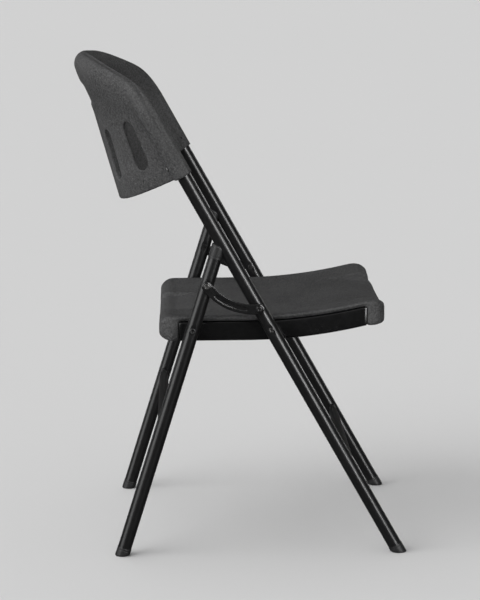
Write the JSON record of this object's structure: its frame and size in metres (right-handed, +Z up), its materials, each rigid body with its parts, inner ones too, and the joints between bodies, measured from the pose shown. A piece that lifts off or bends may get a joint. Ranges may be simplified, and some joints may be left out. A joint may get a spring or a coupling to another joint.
{
  "type": "folding chair",
  "caption": "Folding chair with a round steel tube frame, crossing legs joined by curved links, and a moulded plastic seat and slotted, bowed backrest.",
  "frame": {"origin": "on the floor, below the middle of the open chair's bounding box", "axes": "+X forwards, the way the sitter faces; +Y to the sitter's left; +Z up"},
  "size_m": [0.5296, 0.4544, 0.796],
  "materials": {
    "shell_plastic": "fine pebble grain, dark charcoal",
    "frame_paint": "black powder coat, semi-gloss",
    "rail_paint": "black powder coat, glossier",
    "rivet_steel": "blackened steel, worn at the rim",
    "screw_steel": "dark zinc",
    "cap_plastic": "smooth matt black plastic"
  },
  "bodies": {
    "front_frame": {"left_upright": "frame_paint", "right_upright": "frame_paint", "front_crossbar": "frame_paint", "front_left_foot": "cap_plastic", "front_right_foot": "cap_plastic", "backrest_shell": "shell_plastic", "backrest_screws": "screw_steel", "left_seat_rivet": "rivet_steel", "right_seat_rivet": "rivet_steel", "left_link_rivet": "rivet_steel", "right_link_rivet": "rivet_steel", "front_spacers": "rivet_steel"},
    "seat": {"seat_shell": "shell_plastic", "left_seat_rail": "rail_paint", "right_seat_rail": "rail_paint", "front_seat_brace": "rail_paint", "rear_seat_brace": "rail_paint", "seat_screws": "screw_steel"},
    "rear_frame": {"left_rear_leg": "frame_paint", "right_rear_leg": "frame_paint", "rear_crossbar": "frame_paint", "rear_left_foot": "cap_plastic", "rear_right_foot": "cap_plastic", "left_stop_cap": "cap_plastic", "right_stop_cap": "cap_plastic", "left_rear_rivet": "rivet_steel", "right_rear_rivet": "rivet_steel", "rear_spacers": "rivet_steel", "link_rivet_tails": "rivet_steel"},
    "left_link_arm": {"left_link": "frame_paint", "left_link_head": "rivet_steel"},
    "right_link_arm": {"right_link": "frame_paint", "right_link_head": "rivet_steel"}
  },
  "joints": [
    {"name": "seat_fold", "type": "hinge", "parent": "front_frame", "child": "seat", "pos_m": [0.04717, 0, 0.36742], "axis": [0, -1, 0], "range_deg": [0, 107.5]},
    {"name": "rear_leg_fold", "type": "hinge", "parent": "seat", "child": "rear_frame", "pos_m": [-0.0775, 0, 0.36716], "axis": [0, -1, 0], "range_deg": [-60.9, 0]},
    {"name": "left_link_fold", "type": "hinge", "parent": "front_frame", "child": "left_link_arm", "pos_m": [0.02772, 0, 0.40237], "axis": [0, -1, 0], "range_deg": [0, 127.3]},
    {"name": "right_link_fold", "type": "hinge", "parent": "front_frame", "child": "right_link_arm", "pos_m": [0.02772, 0, 0.40237], "axis": [0, -1, 0], "range_deg": [0, 127.3]}
  ],
  "couplings": [
    {"joint": "rear_leg_fold", "follows": "seat_fold", "ratio": -0.56532},
    {"joint": "left_link_fold", "follows": "seat_fold", "ratio": 1.1831},
    {"joint": "right_link_fold", "follows": "seat_fold", "ratio": 1.1831}
  ]
}
